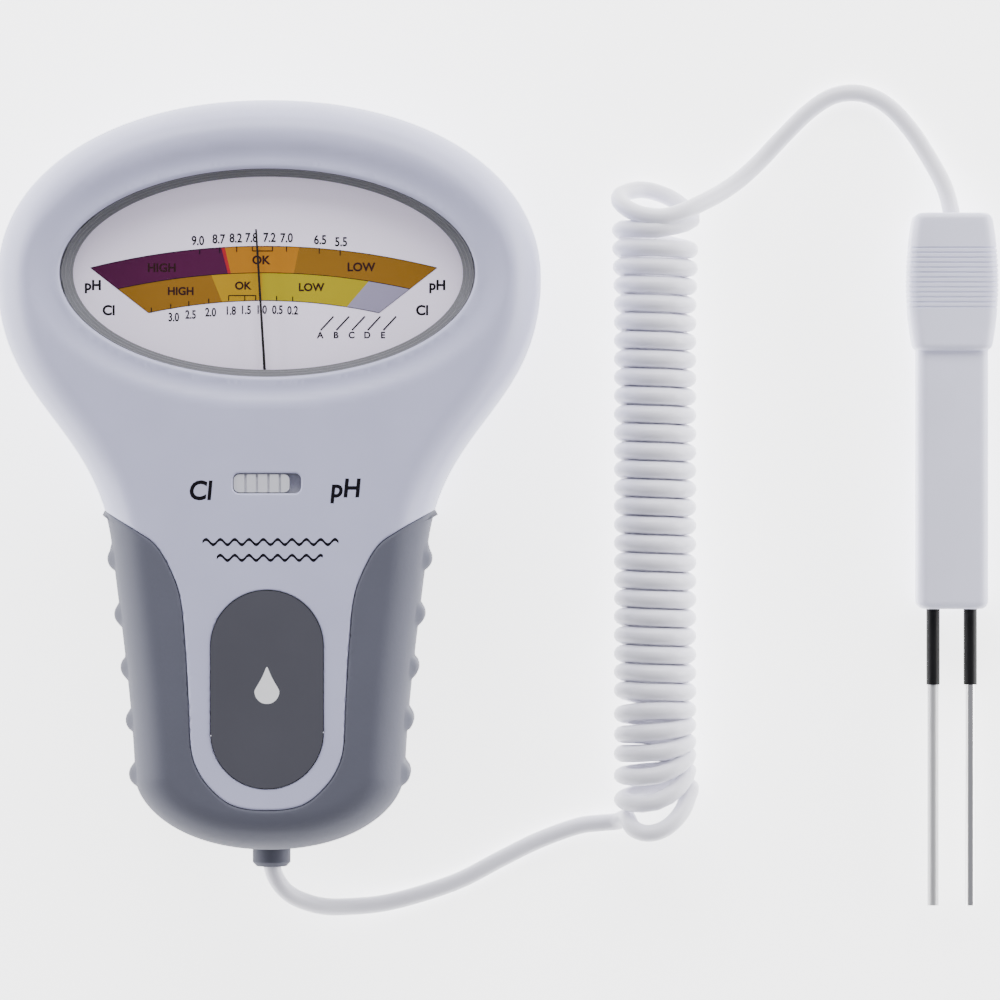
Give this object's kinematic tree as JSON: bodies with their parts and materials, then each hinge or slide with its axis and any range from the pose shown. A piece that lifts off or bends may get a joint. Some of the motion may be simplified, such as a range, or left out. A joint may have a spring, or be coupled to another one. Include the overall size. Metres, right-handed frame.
{
  "type": "pool water tester",
  "caption": "Handheld pool and spa water tester: oval needle meter in a grip-sided case with a slide selector, and a probe with a pair of rods on a curly cord.",
  "frame": {"origin": "on the flat back face, on the case's plane of symmetry, level with the slide selector; the tester lies on its back", "axes": "+Z out of the dial, +Y towards the head of the case, +X towards the coiled cord and the probe"},
  "size_m": [0.2132, 0.1788, 0.0382],
  "materials": {
    "case": "smooth moulded, satin gloss",
    "grip": "soft-touch grey rubber",
    "steel": "plated",
    "lens": "clear flat pane",
    "ring": "stepped grey spacer",
    "panel": "dark grey plate",
    "black_plastic": "moulded",
    "dial": "printed white",
    "iron": "bare soft iron",
    "magnet": "cast magnet alloy",
    "brass": "stamped",
    "spring": "phosphor bronze strip",
    "copper": "enamelled copper winding on a former",
    "pointer": "painted dark",
    "board": null,
    "knob": "pale moulded",
    "blue_plastic": "moulded",
    "resistor": "lacquered",
    "wire": "insulated wire",
    "cord": "smooth jacket",
    "sleeve": "black tubing",
    "zinc": "dull grey metal rod",
    "electrode_steel": "polished rod"
  },
  "bodies": {
    "housing": {"rear_shell": "case", "front_shell": "case", "grip_sleeve": "grip", "case_screws": "steel", "window_lens": "lens", "window_ring": "ring", "label_panel": "panel", "cord_gland": "grip", "cord_clamp": "black_plastic", "clamp_screws": "steel", "meter_frame": "black_plastic", "meter_screws": "steel", "dial_plate": "dial", "pointer_stops": "black_plastic", "pole_shoes": "iron", "magnet": "magnet", "core": "iron", "core_bracket": "brass", "upper_bridge": "brass", "lower_bridge": "brass", "jewel_screws": "brass", "hairspring_upper": "spring", "hairspring_lower": "spring", "circuit_board": "board", "board_screws": "steel", "switch_body": "black_plastic", "trimmer_bodies": "blue_plastic", "resistors": "resistor", "meter_leads": "wire", "cord_cores": "wire", "cord_lower": "cord", "cord_coil": "cord"},
    "pointer_unit": {"moving_coil": "copper", "pivot_staff": "steel", "pointer": "pointer", "balance_weight": "steel"},
    "selector": {"selector_knob": "knob", "switch_slider": "black_plastic"},
    "trimmer_left_rotor": {"trimmer_left": "knob"},
    "trimmer_right_rotor": {"trimmer_right": "knob"},
    "probe": {"probe_cap": "case", "probe_stem": "case", "electrode_holder": "black_plastic", "probe_crimp": "steel", "sleeve_left": "sleeve", "sleeve_right": "sleeve", "electrode_left": "zinc", "electrode_right": "electrode_steel", "probe_wires": "wire", "cord_upper": "cord"}
  },
  "joints": [
    {"name": "pointer_swing", "type": "hinge", "parent": "housing", "child": "pointer_unit", "pos_m": [0, 0.0098, 0.0314], "axis": [0, 0, 1], "range_deg": [-48.5, 41.5], "stiffness_Nm_per_rad": 0.00001, "deforming": ["hairspring_upper", "hairspring_lower"]},
    {"name": "selector_slide", "type": "slide", "parent": "housing", "child": "selector", "axis": [1, 0, 0], "range_m": [0, 0.0023]},
    {"name": "trimmer_left_turn", "type": "hinge", "parent": "housing", "child": "trimmer_left_rotor", "pos_m": [-0.009, -0.03, 0.0265], "axis": [0, 0, -1], "range_deg": [-130, 130]},
    {"name": "trimmer_right_turn", "type": "hinge", "parent": "housing", "child": "trimmer_right_rotor", "pos_m": [0.009, -0.03, 0.0265], "axis": [0, 0, -1], "range_deg": [-130, 130]},
    {"name": "probe_pull", "type": "slide", "parent": "housing", "child": "probe", "axis": [0, 1, 0], "range_m": [0, 0.1], "stiffness_N_per_m": 4}
  ]
}
